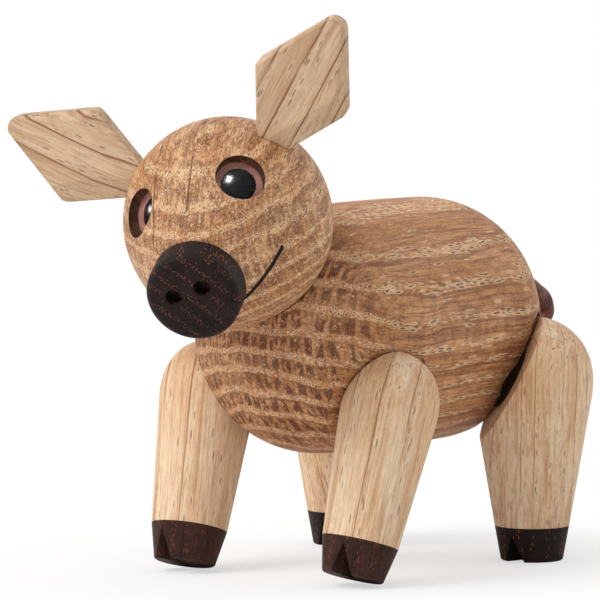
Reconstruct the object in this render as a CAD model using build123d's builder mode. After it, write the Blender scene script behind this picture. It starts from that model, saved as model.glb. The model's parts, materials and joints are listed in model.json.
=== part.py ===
from build123d import *
from math import asin, cos, radians, sin, sqrt
import os

os.makedirs("parts", exist_ok=True)

# A wooden pig with legs and a head that turn on dowels. The pig looks along -Y, its left
# side is +X, +Z is up and the table is at Z = 0. The origin lies on the table under the
# middle of the whole figure, with its head turned and its front legs put forward.

# Body: an egg of oak, turned about its length
body_radius = 22.5
chest_length = 33.1
rump_length = 40.1
body_height = 43.5
body_side_offset = 3.408
body_back_offset = 1.947
chest_end_share = 1.511
chest_shoulder_share = 0.9333
chest_side_share = 8.889
rump_end_share = 1.822
rump_shoulder_share = 0.8667
rump_side_share = 40.0

# Fits
glue_gap = 0.05
running_gap = 0.05
face_gap = 0.1
overrun = 1.0

# Axles and their flanged bushes, the same at all four legs
axle_radius = 2.5
axle_bead_radius = 0.4
bush_wall = 1.4
bush_length = 9.0
bead_depth = 6.0
flange_radius = 6.0
flange_thickness = 0.5
bore_end_gap = 0.6

# Front legs
front_axle_forward = 12.4
front_axle_rise = 0.0
front_axle_swing_angle = 15.0
front_axle_drop_angle = 31.4
front_facet_inset = 3.1
front_pivot_depth = 5.1
front_seat_radius = 10.8
front_step_angle = 20.3
front_sole_radius = 5.5
front_ankle_radius = 6.85
front_hoof_height = 6.4
front_thigh_radius = 8.75
front_dome_height = 10.5
front_shoulder_radius = 12.0
front_axle_in_leg = 8.0

# Hind legs
hind_axle_back = 5.6
hind_axle_rise = 2.3
hind_axle_swing_angle = 43.0
hind_axle_drop_angle = 26.5
hind_facet_reach = 4.9
hind_pivot_depth = 5.05
hind_seat_radius = 13.4
hind_step_angle = 0.0
hind_sole_radius = 5.65
hind_ankle_radius = 6.8
hind_hoof_height = 6.35
hind_thigh_radius = 11.1
hind_dome_height = 13.2
hind_shoulder_radius = 15.5
hind_axle_in_leg = 9.0

# What the legs share: the cloven hoof and its dowel
sole_edge_radius = 0.5
cleft_height = 4.6
cleft_half_width = 2.4
cleft_run_share = 1.35
hoof_dowel_radius = 1.5
dowel_in_hoof = 2.8
dowel_in_shin = 5.0

# Head: a ball with a longer arc over the cheeks, in a ball seat cut into the chest
head_radius = 18.5
cheek_arc_radius = 53.4
cheek_start_angle = 67.0
head_forward = 38.3
head_rise = 21.0
head_turn_angle = 23.1
snout_drop_angle = 28.5
neck_axis_angle = 35.7
neck_gap = 0.3
neck_axle_radius = 3.5
neck_bush_wall = 1.5
neck_bush_length = 10.0
neck_bead_depth = 6.5
neck_bush_set_back = 0.3
neck_axle_in_head = 8.0

# Snout
snout_radius = 8.35
snout_thickness = 6.1
snout_seat_radius = 7.3
snout_edge_radius = 1.6
snout_crown = 0.45
nostril_radius = 1.45
nostril_depth = 2.4
nostril_half_spacing = 2.8
nostril_rise = 1.5
snout_dowel_radius = 2.5
dowel_in_snout = 2.8
snout_dowel_in_head = 7.0

# Eyes, in holes drilled by hand, so the two sit a little differently
left_eye_angle = 57.2
left_eye_sideways_angle = 43.5
right_eye_angle = 52.0
right_eye_sideways_angle = 38.0
eye_hole_radius = 4.4
eye_hole_depth = 4.3
eye_radius = 4.2
pupil_radius = 3.0
eye_disc_thickness = 0.8
lens_edge = 0.5
lens_crown = 2.1

# Smile, a groove burned from the snout up to each cheek, at angles from the snout's middle
mouth_angles = (20.8, 32.0, 43.5)
mouth_sideways_angles = (135.5, 111.0, 98.6)
mouth_width = 0.85

# Ears: thick kites with bevelled faces, each glued on a dowel and turned a little differently
left_ear_rise_angle = 38.8
left_ear_tilt_angle = 11.5
left_ear_twist_angle = -4.2
right_ear_rise_angle = 41.3
right_ear_tilt_angle = 20.2
right_ear_twist_angle = -1.6
ear_length = 28.0
ear_half_width = 9.2
ear_root_half_width = 2.8
ear_corner_share = 0.394
ear_thickness = 5.2
ear_tip_thickness = 2.8
ear_rim = 2.5
ear_tip_radius = 2.4
ear_corner_radius = 2.2
ear_tip_bevel_angle = 36.0
ear_root_bevel_angle = 20.0
ear_steep_bevel_angle = 66.0
ear_dowel_radius = 1.3
dowel_in_ear = 6.0
ear_dowel_in_head = 5.0

# Tail: a twisted leather strip with its root in a hole in the rump
tail_half_width = 2.0
tail_half_thickness = 1.15
tail_hole_radius = 2.1
tail_in_body = 7.0
tail_straight_out = 0.8
tail_hole_end_gap = 0.5
tail_rise = 4.0
tail_lift_angle = 8.0
tail_arc_radii = (38.0, 5.2, 12.0)
tail_arc_angles = (24.0, 80.0, 20.0)
tail_twist_pitch = 12.5
tail_twist_start = 37.0
tail_section_spacing = 1.2
tail_flat_share = 0.5

# Directions of the body
left = Vector(1, 0, 0)
forward = Vector(0, -1, 0)
up = Vector(0, 0, 1)
body_centre = Vector(body_side_offset, body_back_offset, body_height)


def turned_plane(foot, along, across):
    """A plane for the outline of a turned piece: its X is the radius, its Y the length."""
    return Plane(origin=foot, x_dir=across, z_dir=across.cross(along))


def square_to(direction):
    """Any unit direction square to the given one."""
    helper = up if abs(direction.Z) < abs(direction.Y) + abs(direction.X) else left
    return direction.cross(helper).normalized()


def save(part, name):
    """Label a finished piece and write it."""
    part.label = name
    export_step(part, f"parts/{name}.step")


# Neck: the head turns about one axis through its centre
neck_axis = forward * cos(radians(neck_axis_angle)) + up * sin(radians(neck_axis_angle))
head_centre = body_centre + forward * head_forward + up * head_rise
turn_axis = Axis(head_centre, neck_axis)
scoop_radius = head_radius + neck_gap
neck_bush_radius = neck_axle_radius + running_gap + neck_bush_wall
neck_bush_top = head_centre - neck_axis * (scoop_radius + neck_bush_set_back)


def head_direction(vector):
    """Turn a direction of the head that looks straight ahead by the head's turn."""
    return vector.rotate(Axis((0, 0, 0), neck_axis), head_turn_angle)


level_snout = forward * cos(radians(snout_drop_angle)) - up * sin(radians(snout_drop_angle))
level_crown = up * cos(radians(snout_drop_angle)) + forward * sin(radians(snout_drop_angle))
head_left = head_direction(left)
head_forward_direction = head_direction(level_snout)
head_up = head_direction(level_crown)


def leg_axle_direction(side, swing, drop):
    """Outward direction of a leg's axle. Swing is towards the rump, drop is downwards."""
    flat = left * (side * cos(radians(swing))) - forward * sin(radians(swing))
    return flat * cos(radians(drop)) - up * sin(radians(drop))


# Each corner: name, side, and the sizes of its pair of legs
corners = []
for side_name, side in (("left", 1), ("right", -1)):
    corners.append(
        dict(
            name=f"{side_name}_front",
            axle_start=body_centre + forward * front_axle_forward + up * front_axle_rise,
            outward=leg_axle_direction(side, -front_axle_swing_angle, front_axle_drop_angle),
            step=-side * front_step_angle,
            facet=body_radius - front_facet_inset,
            pivot_depth=front_pivot_depth,
            seat=front_seat_radius,
            sole=front_sole_radius,
            ankle=front_ankle_radius,
            hoof=front_hoof_height,
            thigh=front_thigh_radius,
            dome=front_dome_height,
            shoulder=front_shoulder_radius,
            axle_in_leg=front_axle_in_leg,
        )
    )
    corners.append(
        dict(
            name=f"{side_name}_hind",
            axle_start=body_centre - forward * hind_axle_back + up * hind_axle_rise,
            outward=leg_axle_direction(side, hind_axle_swing_angle, hind_axle_drop_angle),
            step=-side * hind_step_angle,
            facet=body_radius + hind_facet_reach,
            pivot_depth=hind_pivot_depth,
            seat=hind_seat_radius,
            sole=hind_sole_radius,
            ankle=hind_ankle_radius,
            hoof=hind_hoof_height,
            thigh=hind_thigh_radius,
            dome=hind_dome_height,
            shoulder=hind_shoulder_radius,
            axle_in_leg=hind_axle_in_leg,
        )
    )

bush_bore_radius = axle_radius + running_gap
bush_radius = bush_bore_radius + bush_wall
leg_gap = flange_thickness + face_gap

# Tail: its root runs straight back out of the rump, rises, and curls down
tail_direction = -forward * cos(radians(tail_lift_angle)) + up * sin(radians(tail_lift_angle))
rump_end_radius = body_radius * rump_end_share
tail_mouth_sag = rump_end_radius - sqrt(rump_end_radius**2 - tail_rise**2)
tail_mouth = body_centre + up * tail_rise - forward * (rump_length - tail_mouth_sag)
tail_start = tail_mouth - tail_direction * tail_in_body
tail_hole_end = tail_start - tail_direction * tail_hole_end_gap


def arc_joints(width, length, side_radius, shoulder_radius, end_radius):
    """Where a side, a shoulder and an end arc meet, on the way from the waist to the end."""
    side_centre = Vector(width - side_radius, 0)
    end_centre = Vector(0, length - end_radius)
    apart = side_centre - end_centre
    to_shoulder = end_radius - shoulder_radius
    side_to_shoulder = side_radius - shoulder_radius
    towards_side = (to_shoulder**2 - side_to_shoulder**2 + apart.length**2) / (2 * apart.length)
    aside = sqrt(to_shoulder**2 - towards_side**2)
    along = apart.normalized()
    shoulder_centre = end_centre + along * towards_side + Vector(-along.Y, along.X) * -aside
    side_joint = side_centre + (shoulder_centre - side_centre).normalized() * side_radius
    end_joint = end_centre + (shoulder_centre - end_centre).normalized() * end_radius
    return side_joint, end_joint


# Body
with BuildPart() as body:
    with BuildSketch(Plane(origin=body_centre)):
        with BuildLine():
            for way, length, arc_shares in (
                (-1, chest_length, (chest_side_share, chest_shoulder_share, chest_end_share)),
                (1, rump_length, (rump_side_share, rump_shoulder_share, rump_end_share)),
            ):
                arc_radii = [body_radius * share for share in arc_shares]
                side_joint, end_joint = arc_joints(body_radius, length, *arc_radii)
                waist = (body_radius, 0)
                side_end = (side_joint.X, way * side_joint.Y)
                shoulder_end = (end_joint.X, way * end_joint.Y)
                side_arc = TangentArc(waist, side_end, tangent=(0, way))
                shoulder_arc = TangentArc(side_end, shoulder_end, tangent=side_arc % 1)
                TangentArc(shoulder_end, (0, way * length), tangent=shoulder_arc % 1)
            Line((0, rump_length), (0, -chest_length))
        make_face()
    revolve(axis=Axis(body_centre, forward))
    with Locations(head_centre):
        Sphere(scoop_radius, mode=Mode.SUBTRACT)
    with BuildSketch(Plane(origin=neck_bush_top, z_dir=-neck_axis)):
        Circle(neck_bush_radius + glue_gap)
    extrude(amount=neck_bush_length + bore_end_gap, mode=Mode.SUBTRACT)
    with BuildSketch(Plane(origin=neck_bush_top, z_dir=-neck_axis)):
        Circle(neck_bush_radius + glue_gap)
    extrude(amount=-(neck_bush_set_back + overrun), mode=Mode.SUBTRACT)
    for corner in corners:
        facet_plane = Plane(
            origin=corner["axle_start"] + corner["outward"] * corner["facet"],
            z_dir=corner["outward"],
        )
        with BuildSketch(facet_plane):
            Circle(corner["seat"])
        extrude(amount=body_radius, mode=Mode.SUBTRACT)
        with BuildSketch(facet_plane):
            Circle(bush_radius + glue_gap)
        extrude(amount=-(bush_length + bore_end_gap), mode=Mode.SUBTRACT)
    with BuildSketch(Plane(origin=tail_hole_end, x_dir=left, z_dir=tail_direction)):
        Circle(tail_hole_radius)
    extrude(amount=tail_hole_end_gap + tail_in_body + overrun, mode=Mode.SUBTRACT)
save(body.part, "body")


def bead_outline(radius, size):
    """Half the section of a low ridge around a cylinder: its radius first, then its length."""
    return (radius - size, -2 * size), (radius + size, 0), (radius - size, 2 * size)


def make_axle(name, face, outward, radius, length_out, length_in, bead_at):
    """A dowel across a joint face, with a bead that snaps into the bush's groove."""
    with BuildPart() as axle:
        with BuildSketch(Plane(origin=face - outward * length_in, z_dir=outward)):
            Circle(radius)
        extrude(amount=length_in + length_out)
        chamfer(axle.edges().group_by(Axis(face, outward))[0], axle_bead_radius)
        bead_middle = face - outward * bead_at
        with BuildSketch(turned_plane(bead_middle, outward, square_to(outward))):
            Polygon(*bead_outline(radius, axle_bead_radius), align=None)
        revolve(axis=Axis(bead_middle, outward))
    save(axle.part, name)


def make_bush(name, face, outward, bore, wall, length, bead_at, flange):
    """A nylon bush pressed into the body, with a groove for the axle's bead."""
    with BuildPart() as bush:
        with BuildSketch(Plane(origin=face, z_dir=outward)):
            Circle(bore + wall)
            Circle(bore, mode=Mode.SUBTRACT)
        extrude(amount=-length)
        if flange:
            with BuildSketch(Plane(origin=face, z_dir=outward)):
                Circle(flange_radius)
                Circle(bore, mode=Mode.SUBTRACT)
            extrude(amount=flange_thickness)
        bead_middle = face - outward * bead_at
        with BuildSketch(turned_plane(bead_middle, outward, square_to(outward))):
            Polygon(*bead_outline(bore, axle_bead_radius + running_gap), align=None)
        revolve(axis=Axis(bead_middle, outward), mode=Mode.SUBTRACT)
    save(bush.part, name)


def make_leg(corner):
    """One leg with its hoof, dowel, axle and bush, at the step that the figure stands in."""
    outward = corner["outward"]
    facet_point = corner["axle_start"] + outward * corner["facet"]
    pivot = facet_point + outward * corner["pivot_depth"]
    swing = Axis((0, 0, 0), outward)
    along = up.rotate(swing, corner["step"])
    ahead = forward.rotate(swing, corner["step"])
    across = ahead.cross(along)
    # The leg is as long as it needs to be for its sole's lowest edge to meet the table
    lean = sqrt(max(0, 1 - along.Z**2))
    length = (pivot.Z - corner["sole"] * lean) / along.Z
    foot = pivot - along * length
    outline_plane = turned_plane(foot, along, across)
    leg_axis = Axis(foot, along)
    hoof_height = corner["hoof"]
    shin_slope = (corner["thigh"] - corner["ankle"]) / (length - hoof_height)
    stretch = sqrt(1 + shin_slope**2)
    shoulder_radius = corner["shoulder"]
    top_height = length + corner["dome"]
    # The shoulder arc leaves the straight shin and bulges to the thigh's full radius
    shoulder_in = corner["thigh"] - shoulder_radius
    shoulder_height = hoof_height + (
        corner["thigh"] - corner["ankle"] + shoulder_radius * (stretch - 1)
    ) / shin_slope
    shin_end = (
        shoulder_in + shoulder_radius / stretch,
        shoulder_height - shoulder_radius * shin_slope / stretch,
    )
    # The cap arc meets it, with its own middle on the leg's axis
    rise = top_height - shoulder_height
    cap_radius = (shoulder_radius**2 - shoulder_in**2 - rise**2) / (2 * (shoulder_radius - rise))
    to_cap = Vector(-shoulder_in, rise - cap_radius).normalized()
    cap_start = (
        shoulder_in + shoulder_radius * to_cap.X,
        shoulder_height + shoulder_radius * to_cap.Y,
    )
    top = (0, top_height)
    dowel_hole_radius = hoof_dowel_radius + glue_gap

    with BuildPart() as leg:
        with BuildSketch(outline_plane):
            with BuildLine():
                Line((0, hoof_height), (corner["ankle"], hoof_height))
                Line((corner["ankle"], hoof_height), shin_end)
                shoulder_arc = TangentArc(shin_end, cap_start, tangent=(shin_slope, 1))
                TangentArc(cap_start, top, tangent=shoulder_arc % 1)
                Line(top, (0, hoof_height))
            make_face()
        revolve(axis=leg_axis)
        flat_plane = Plane(origin=facet_point + outward * leg_gap, z_dir=outward)
        split(bisect_by=flat_plane, keep=Keep.TOP)
        with BuildSketch(flat_plane):
            Circle(axle_radius + glue_gap)
        extrude(amount=corner["axle_in_leg"], mode=Mode.SUBTRACT)
        with BuildSketch(Plane(origin=foot + along * hoof_height, z_dir=along)):
            Circle(dowel_hole_radius)
        extrude(amount=dowel_in_shin, mode=Mode.SUBTRACT)
    save(leg.part, f"{corner['name']}_leg")

    cleft_run = cleft_run_share * corner["sole"]
    cleft_drop = ahead * -cleft_run - along * cleft_height
    cleft_depth = cleft_height + corner["ankle"]
    cleft_opening = cleft_depth * cleft_half_width / cleft_height
    with BuildPart() as hoof:
        with BuildSketch(outline_plane):
            Polygon(
                (0, 0),
                (corner["sole"], 0),
                (corner["ankle"], hoof_height),
                (0, hoof_height),
                align=None,
            )
        revolve(axis=leg_axis)
        fillet(hoof.edges().group_by(leg_axis)[0], sole_edge_radius)
        with BuildSketch(Plane(origin=foot + along * hoof_height, z_dir=along)):
            Circle(dowel_hole_radius)
        extrude(amount=-dowel_in_hoof, mode=Mode.SUBTRACT)
        # The cleft: a V that is deepest at the toe and runs out under the sole
        cleft_top = foot + ahead * corner["sole"] + along * cleft_height
        with BuildSketch(Plane(origin=cleft_top, x_dir=across, z_dir=cleft_drop.normalized())):
            Polygon(
                (0, 0),
                (cleft_opening, -cleft_depth),
                (-cleft_opening, -cleft_depth),
                align=None,
            )
        extrude(amount=cleft_drop.length + overrun, mode=Mode.SUBTRACT, both=True)
    save(hoof.part, f"{corner['name']}_hoof")

    with BuildPart() as hoof_dowel:
        dowel_foot = foot + along * (hoof_height - dowel_in_hoof)
        with BuildSketch(Plane(origin=dowel_foot, z_dir=along)):
            Circle(hoof_dowel_radius)
        extrude(amount=dowel_in_hoof + dowel_in_shin)
    save(hoof_dowel.part, f"{corner['name']}_hoof_dowel")

    make_axle(
        f"{corner['name']}_axle",
        facet_point,
        outward,
        axle_radius,
        leg_gap + corner["axle_in_leg"],
        bush_length,
        bead_depth,
    )
    make_bush(
        f"{corner['name']}_bush",
        facet_point,
        outward,
        bush_bore_radius,
        bush_wall,
        bush_length,
        bead_depth,
        flange=True,
    )


for corner in corners:
    make_leg(corner)


# Head outline, in the head's own radius and length
cheek_shift = cheek_arc_radius - head_radius
cheek_centre_out = -cheek_shift * sin(radians(cheek_start_angle))
cheek_centre_along = -cheek_shift * cos(radians(cheek_start_angle))
snout_seat_distance = cheek_centre_along + sqrt(
    cheek_arc_radius**2 - (snout_seat_radius - cheek_centre_out) ** 2
)


def head_surface(angle):
    """Distance from the head's centre to its surface, at an angle from the snout's middle."""
    if angle >= cheek_start_angle:
        return head_radius
    offset = radians(cheek_start_angle - angle)
    reach = sqrt(cheek_arc_radius**2 - (cheek_shift * sin(offset)) ** 2)
    return reach - cheek_shift * cos(offset)


def head_ray(angle, sideways, side):
    """Direction at an angle from the snout's middle, and sideways from the crown."""
    out = head_left * (side * sin(radians(sideways))) + head_up * cos(radians(sideways))
    return head_forward_direction * cos(radians(angle)) + out * sin(radians(angle))


def ear_directions(side, rise, tilt, twist):
    """Where an ear points from its root, and where its front face looks."""
    ear_up = head_up * cos(radians(tilt)) - head_forward_direction * sin(radians(tilt))
    axis = head_left * (side * cos(radians(rise))) + ear_up * sin(radians(rise))
    face = head_forward_direction * cos(radians(tilt)) + head_up * sin(radians(tilt))
    return axis, face.rotate(Axis((0, 0, 0), axis), -side * twist)


# Each side of the head: its eye's direction, its ear's and where its front face looks
head_sides = {
    "left": (
        1,
        head_ray(left_eye_angle, left_eye_sideways_angle, 1),
        head_surface(left_eye_angle),
        *ear_directions(1, left_ear_rise_angle, left_ear_tilt_angle, left_ear_twist_angle),
    ),
    "right": (
        -1,
        head_ray(right_eye_angle, right_eye_sideways_angle, -1),
        head_surface(right_eye_angle),
        *ear_directions(-1, right_ear_rise_angle, right_ear_tilt_angle, right_ear_twist_angle),
    ),
}
# The bevels along the four edges of each ear, from the lower root edge round over its tip
ear_bevel_angles = {
    "left": (
        ear_root_bevel_angle,
        ear_tip_bevel_angle,
        ear_steep_bevel_angle,
        ear_steep_bevel_angle,
    ),
    "right": (
        ear_root_bevel_angle,
        ear_tip_bevel_angle,
        ear_steep_bevel_angle,
        ear_root_bevel_angle,
    ),
}
snout_seat = head_centre + head_forward_direction * snout_seat_distance
neck_end = head_centre - neck_axis * head_radius

with BuildPart() as head:
    with BuildSketch(turned_plane(head_centre, head_forward_direction, head_left)):
        with BuildLine():
            tangent_point = (
                head_radius * sin(radians(cheek_start_angle)),
                head_radius * cos(radians(cheek_start_angle)),
            )
            seat_angle = asin((snout_seat_radius - cheek_centre_out) / cheek_arc_radius)
            middle_angle = (seat_angle + radians(cheek_start_angle)) / 2
            cheek_middle = (
                cheek_centre_out + cheek_arc_radius * sin(middle_angle),
                cheek_centre_along + cheek_arc_radius * cos(middle_angle),
            )
            seat_rim = (snout_seat_radius, snout_seat_distance)
            ThreePointArc((0, -head_radius), (head_radius, 0), tangent_point)
            ThreePointArc(tangent_point, cheek_middle, seat_rim)
            Line(seat_rim, (0, snout_seat_distance))
            Line((0, snout_seat_distance), (0, -head_radius))
        make_face()
    revolve(axis=Axis(head_centre, head_forward_direction))
    with BuildSketch(Plane(origin=neck_end - neck_axis * overrun, z_dir=neck_axis)):
        Circle(neck_axle_radius + glue_gap)
    extrude(amount=neck_axle_in_head + overrun, mode=Mode.SUBTRACT)
    with BuildSketch(Plane(origin=snout_seat, z_dir=-head_forward_direction)):
        Circle(snout_dowel_radius + glue_gap)
    extrude(amount=snout_dowel_in_head, mode=Mode.SUBTRACT)
    for side, eye_ray, eye_surface, ear_ray, ear_face in head_sides.values():
        eye_floor = head_centre + eye_ray * (eye_surface - eye_hole_depth)
        with BuildSketch(Plane(origin=eye_floor, z_dir=eye_ray)):
            Circle(eye_hole_radius)
        extrude(amount=eye_hole_depth + overrun, mode=Mode.SUBTRACT)
        ear_root = head_centre + ear_ray * head_radius
        with BuildSketch(Plane(origin=ear_root + ear_ray * overrun, z_dir=-ear_ray)):
            Circle(ear_dowel_radius + glue_gap)
        extrude(amount=ear_dowel_in_head + overrun, mode=Mode.SUBTRACT)
        mouth_points = [
            head_centre + head_ray(angle, sideways, side) * head_surface(angle)
            for angle, sideways in zip(mouth_angles, mouth_sideways_angles)
        ]
        with BuildLine() as mouth_line:
            ThreePointArc(*mouth_points)
        mouth_start = Plane(origin=mouth_line.line @ 0, z_dir=mouth_line.line % 0)
        with BuildSketch(mouth_start):
            Circle(mouth_width / 2)
        sweep(path=mouth_line.line, mode=Mode.SUBTRACT)
        with Locations(mouth_points[-1]):
            Sphere(mouth_width / 2, mode=Mode.SUBTRACT)
save(head.part, "head")

make_axle(
    "neck_axle",
    neck_bush_top,
    neck_axis,
    neck_axle_radius,
    neck_bush_set_back + neck_gap + neck_axle_in_head,
    neck_bush_length,
    neck_bead_depth,
)
make_bush(
    "neck_bush",
    neck_bush_top,
    neck_axis,
    neck_axle_radius + running_gap,
    neck_bush_wall,
    neck_bush_length,
    neck_bead_depth,
    flange=False,
)

# Snout: a dark turned disc with a crowned face and two drilled nostrils
with BuildPart() as snout:
    with BuildSketch(turned_plane(snout_seat, head_forward_direction, head_left)):
        with BuildLine():
            crown_radius = (snout_radius**2 + snout_crown**2) / (2 * snout_crown)
            crown_angle = asin(snout_radius / crown_radius) / 2
            crown_middle = (
                crown_radius * sin(crown_angle),
                snout_thickness - crown_radius * (1 - cos(crown_angle)),
            )
            front_rim = (snout_radius, snout_thickness - snout_crown)
            Line((0, 0), (snout_radius, 0))
            Line((snout_radius, 0), front_rim)
            ThreePointArc(front_rim, crown_middle, (0, snout_thickness))
            Line((0, snout_thickness), (0, 0))
        make_face()
    revolve(axis=Axis(snout_seat, head_forward_direction))
    rims = snout.edges().filter_by(lambda edge: edge.is_closed)
    front_rims = rims.sort_by(Axis(snout_seat, head_forward_direction))
    fillet(front_rims[-1], snout_edge_radius)
    with BuildSketch(Plane(origin=snout_seat, z_dir=head_forward_direction)):
        Circle(snout_dowel_radius + glue_gap)
    extrude(amount=dowel_in_snout, mode=Mode.SUBTRACT)
    nostril_plane = Plane(
        origin=snout_seat + head_forward_direction * (snout_thickness - nostril_depth),
        x_dir=head_left,
        z_dir=head_forward_direction,
    )
    with BuildSketch(nostril_plane):
        nostril_side = nostril_rise if nostril_plane.y_dir.dot(head_up) > 0 else -nostril_rise
        with Locations((nostril_half_spacing, nostril_side), (-nostril_half_spacing, nostril_side)):
            Circle(nostril_radius)
    extrude(amount=nostril_depth + overrun, mode=Mode.SUBTRACT)
save(snout.part, "snout")

with BuildPart() as snout_dowel:
    dowel_start = snout_seat - head_forward_direction * snout_dowel_in_head
    with BuildSketch(Plane(origin=dowel_start, z_dir=head_forward_direction)):
        Circle(snout_dowel_radius)
    extrude(amount=snout_dowel_in_head + dowel_in_snout)
save(snout_dowel.part, "snout_dowel")


def make_eye(side_name, ray, surface):
    """A brown ring, a black pupil disc and a clear dome over both, at the hole's floor."""
    floor = head_centre + ray * (surface - eye_hole_depth)
    with BuildPart() as iris:
        with BuildSketch(Plane(origin=floor, z_dir=ray)):
            Circle(eye_radius)
            Circle(pupil_radius + glue_gap, mode=Mode.SUBTRACT)
        extrude(amount=eye_disc_thickness)
    save(iris.part, f"{side_name}_eye_iris")

    with BuildPart() as pupil:
        with BuildSketch(Plane(origin=floor, z_dir=ray)):
            Circle(pupil_radius)
        extrude(amount=eye_disc_thickness)
    save(pupil.part, f"{side_name}_eye_pupil")

    lens_foot = floor + ray * (eye_disc_thickness + glue_gap)
    lens_radius = (eye_radius**2 + lens_crown**2) / (2 * lens_crown)
    half_angle = asin(eye_radius / lens_radius) / 2
    with BuildPart() as lens:
        with BuildSketch(turned_plane(lens_foot, ray, square_to(ray))):
            with BuildLine():
                crown = (0, lens_edge + lens_crown)
                middle = (
                    lens_radius * sin(half_angle),
                    lens_edge + lens_crown - lens_radius * (1 - cos(half_angle)),
                )
                Line((0, 0), (eye_radius, 0))
                Line((eye_radius, 0), (eye_radius, lens_edge))
                ThreePointArc((eye_radius, lens_edge), middle, crown)
                Line(crown, (0, 0))
            make_face()
        revolve(axis=Axis(lens_foot, ray))
    save(lens.part, f"{side_name}_eye_lens")


def make_ear(side_name, axis, face):
    """A kite with rounded corners, thinner towards its tip, with wide bevels near its root."""
    root = head_centre + axis * head_radius
    across = face.cross(axis)
    face_plane = Plane(origin=root, x_dir=axis, z_dir=face)
    edge_plane = Plane(origin=root, x_dir=axis, z_dir=across)
    corner_along = ear_corner_share * ear_length
    outline = (
        (-overrun, -ear_root_half_width),
        (corner_along, -ear_half_width),
        (ear_length, 0),
        (corner_along, ear_half_width),
        (-overrun, ear_root_half_width),
    )
    with BuildPart() as ear:
        with BuildSketch(face_plane) as kite:
            Polygon(*outline, align=None)
            fillet(kite.vertices().sort_by(Axis.X)[-1], ear_tip_radius)
            by_width = kite.vertices().sort_by(Axis.Y)
            fillet([by_width[0], by_width[-1]], ear_corner_radius)
        extrude(amount=ear_thickness / 2, both=True)
        with BuildSketch(edge_plane):
            Polygon(
                (-overrun, -ear_thickness),
                (-overrun, ear_thickness),
                (corner_along, ear_thickness / 2),
                (ear_length, ear_tip_thickness / 2),
                (ear_length, -ear_tip_thickness / 2),
                (corner_along, -ear_thickness / 2),
                align=None,
            )
        extrude(amount=ear_half_width + overrun, both=True, mode=Mode.INTERSECT)
        # A bevel along each edge of the kite, on the front and on the back
        for start, end, slope in zip(outline, outline[1:], ear_bevel_angles[side_name]):
            start_point = face_plane.from_local_coords(Vector(*start))
            end_point = face_plane.from_local_coords(Vector(*end))
            outward = (end_point - start_point).normalized().cross(face)
            for face_side in (face, -face):
                bevel_normal = face_side * cos(radians(slope)) + outward * sin(radians(slope))
                rim_point = start_point + face_side * (ear_rim / 2)
                split(bisect_by=Plane(origin=rim_point, z_dir=bevel_normal), keep=Keep.BOTTOM)
        with Locations(head_centre):
            Sphere(head_radius + glue_gap, mode=Mode.SUBTRACT)
        with BuildSketch(Plane(origin=root, z_dir=axis)):
            Circle(ear_dowel_radius + glue_gap)
        extrude(amount=dowel_in_ear, mode=Mode.SUBTRACT)
    save(ear.part, f"{side_name}_ear")

    with BuildPart() as ear_dowel:
        with BuildSketch(Plane(origin=root - axis * ear_dowel_in_head, z_dir=axis)):
            Circle(ear_dowel_radius)
        extrude(amount=ear_dowel_in_head + dowel_in_ear)
    save(ear_dowel.part, f"{side_name}_ear_dowel")


for side_name, (side, eye_ray, eye_surface, ear_ray, ear_face) in head_sides.items():
    make_eye(side_name, eye_ray, eye_surface)
    make_ear(side_name, ear_ray, ear_face)

# Tail: sections of the strip, evenly spaced along its bend and each turned a little further
with BuildLine(Plane(origin=tail_start, x_dir=-forward, z_dir=left)) as tail_line:
    lift = radians(tail_lift_angle)
    straight = tail_in_body + tail_straight_out
    root_end = (straight * cos(lift), straight * sin(lift))
    Line((0, 0), root_end)
    for arc_radius, arc_angle in zip(tail_arc_radii, tail_arc_angles):
        JernArc(tail_line.line @ 1, tail_line.line % 1, arc_radius, -arc_angle)
tail_path = tail_line.wire()
section_count = round(tail_path.length / tail_section_spacing)
flat_half_width = tail_half_width * tail_flat_share
flat_half_thickness = tail_half_thickness * tail_flat_share
strip_outline = (
    (tail_half_width, -flat_half_thickness),
    (tail_half_width, flat_half_thickness),
    (flat_half_width, tail_half_thickness),
    (-flat_half_width, tail_half_thickness),
    (-tail_half_width, flat_half_thickness),
    (-tail_half_width, -flat_half_thickness),
    (-flat_half_width, -tail_half_thickness),
    (flat_half_width, -tail_half_thickness),
)
with BuildPart() as tail:
    for index in range(section_count + 1):
        share = index / section_count
        direction = tail_path % share
        twist = tail_twist_start + 360 * share * tail_path.length / tail_twist_pitch
        wide = left.rotate(Axis((0, 0, 0), direction), twist)
        with BuildSketch(Plane(origin=tail_path @ share, x_dir=wide, z_dir=direction)):
            Polygon(*strip_outline, align=None)
    loft(ruled=True)
save(tail.part, "tail")
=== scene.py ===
# %% [markdown]
# # A wooden pig on a pale table
#
# The solids come from the CAD frame, in metres, with the pig looking along -Y and its left
# side at +X. This script gives every piece its wood, glass, leather or nylon, builds the
# twisted leather tail in full detail, and sets up the table, the lights and the camera.

import json
import math

import bmesh
import bpy
from mathutils import Matrix, Vector

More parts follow.
